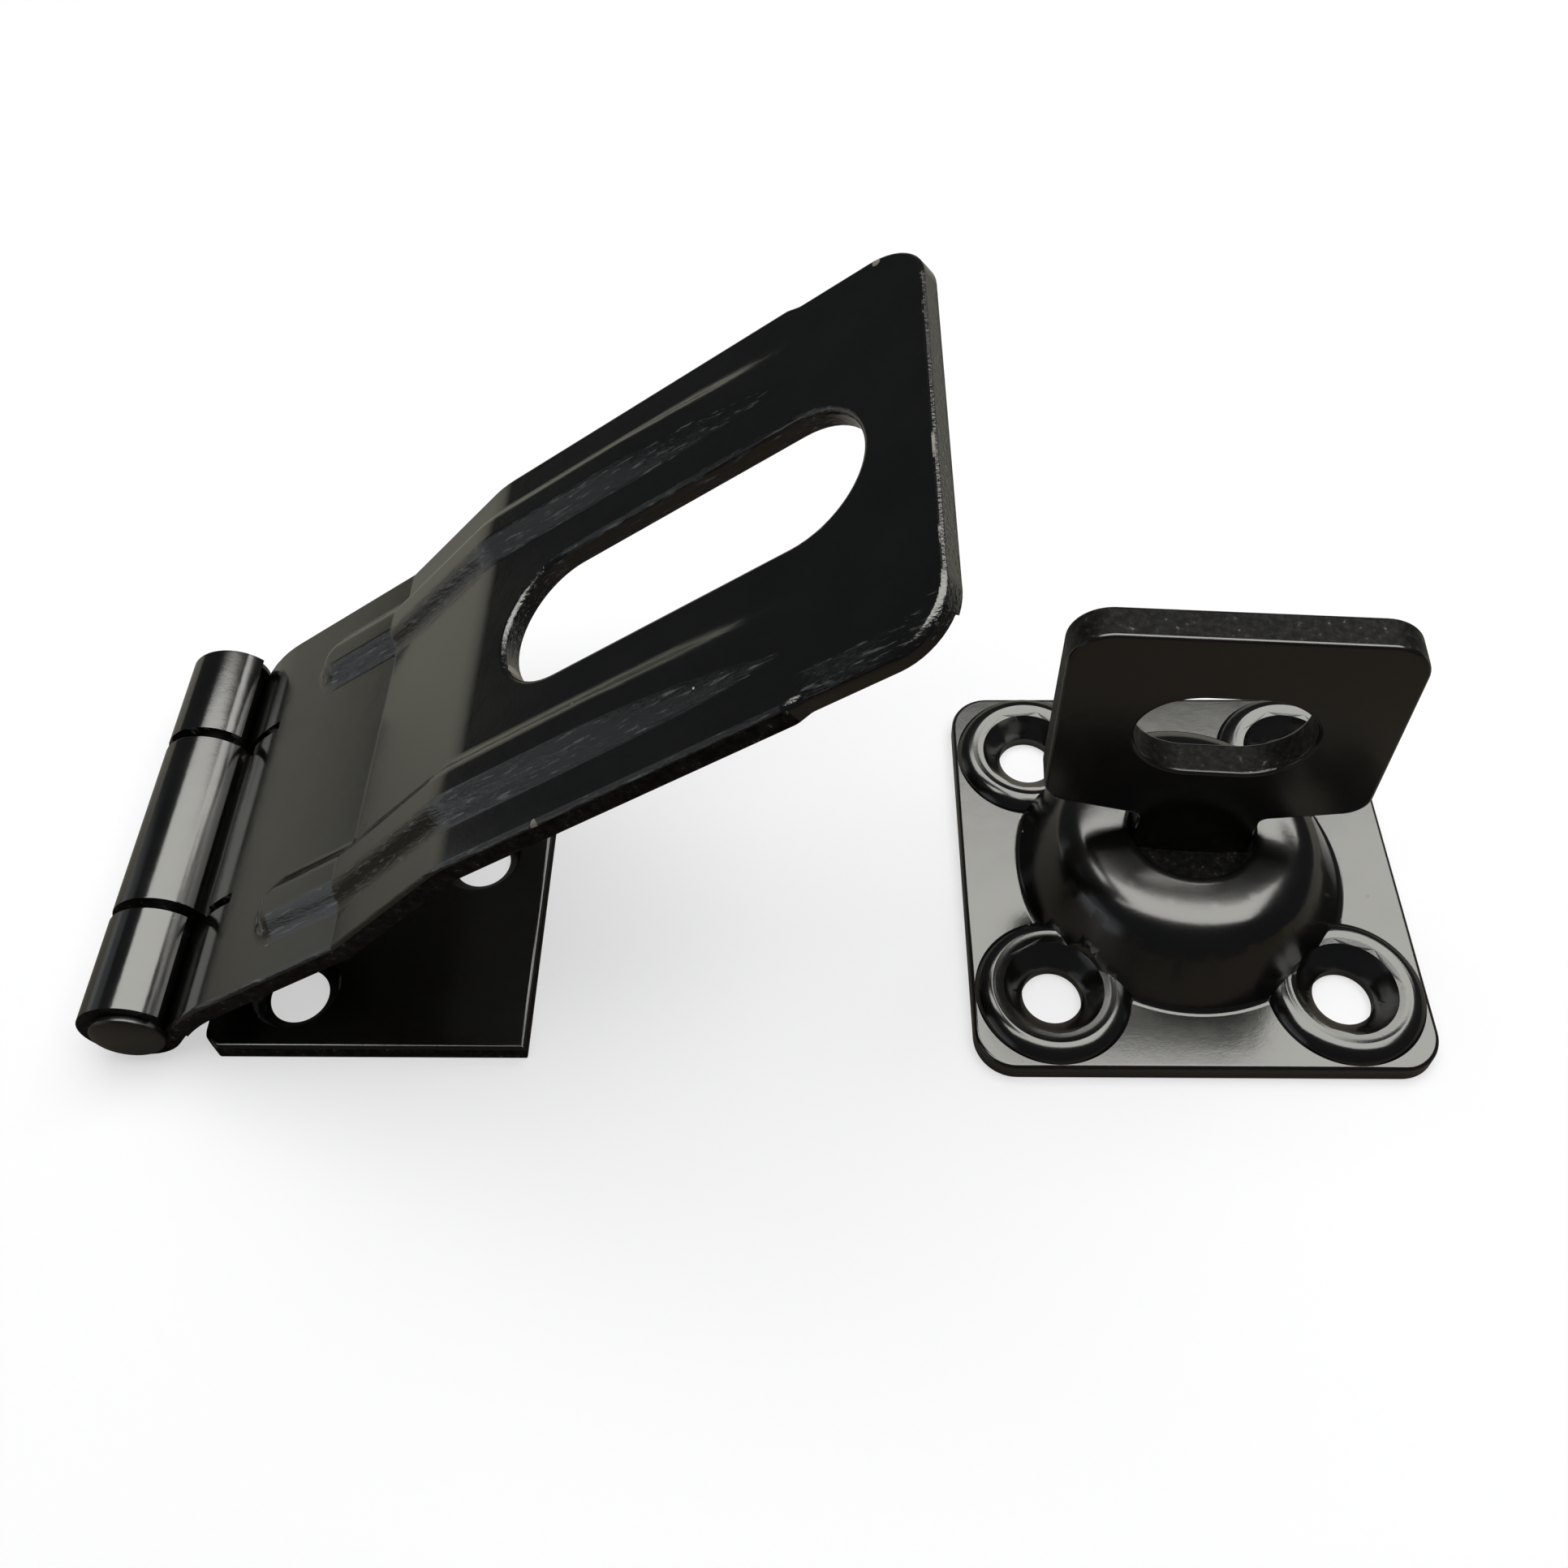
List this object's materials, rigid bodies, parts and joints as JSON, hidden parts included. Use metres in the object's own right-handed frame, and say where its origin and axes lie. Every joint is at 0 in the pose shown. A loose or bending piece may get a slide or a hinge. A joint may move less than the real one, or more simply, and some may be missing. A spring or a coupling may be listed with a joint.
{
  "type": "safety hasp",
  "caption": "Safety hasp with a ribbed, slotted strap hinged on a screw leaf, and a separate domed staple plate whose flat eye turns to take a padlock.",
  "frame": {"origin": "midway between the screw leaf's two outer holes, on the surface that both halves are screwed to", "axes": "+X from the hinge pin towards the staple, +Y along the hinge pin, +Z out of the mounting surface"},
  "size_m": [0.1176, 0.042, 0.058],
  "materials": {
    "black_paint": "gloss black paint over pressed steel",
    "plain_steel": "plain"
  },
  "bodies": {
    "base": {"hinge_leaf": "black_paint", "hinge_pin": "black_paint", "staple_plate": "black_paint"},
    "strap": {"hasp_strap": "black_paint"},
    "eye": {"swivel_eye": "black_paint", "retaining_washer": "plain_steel"}
  },
  "joints": [
    {"name": "strap_hinge", "type": "hinge", "parent": "base", "child": "strap", "pos_m": [-0.0127, 0, 0.0044], "axis": [0, -1, 0], "range_deg": [-14, 143]},
    {"name": "eye_swivel", "type": "hinge", "parent": "base", "child": "eye", "pos_m": [0.0805, -0.0013, 0.0067], "axis": [0, 0, 1], "continuous": true}
  ]
}
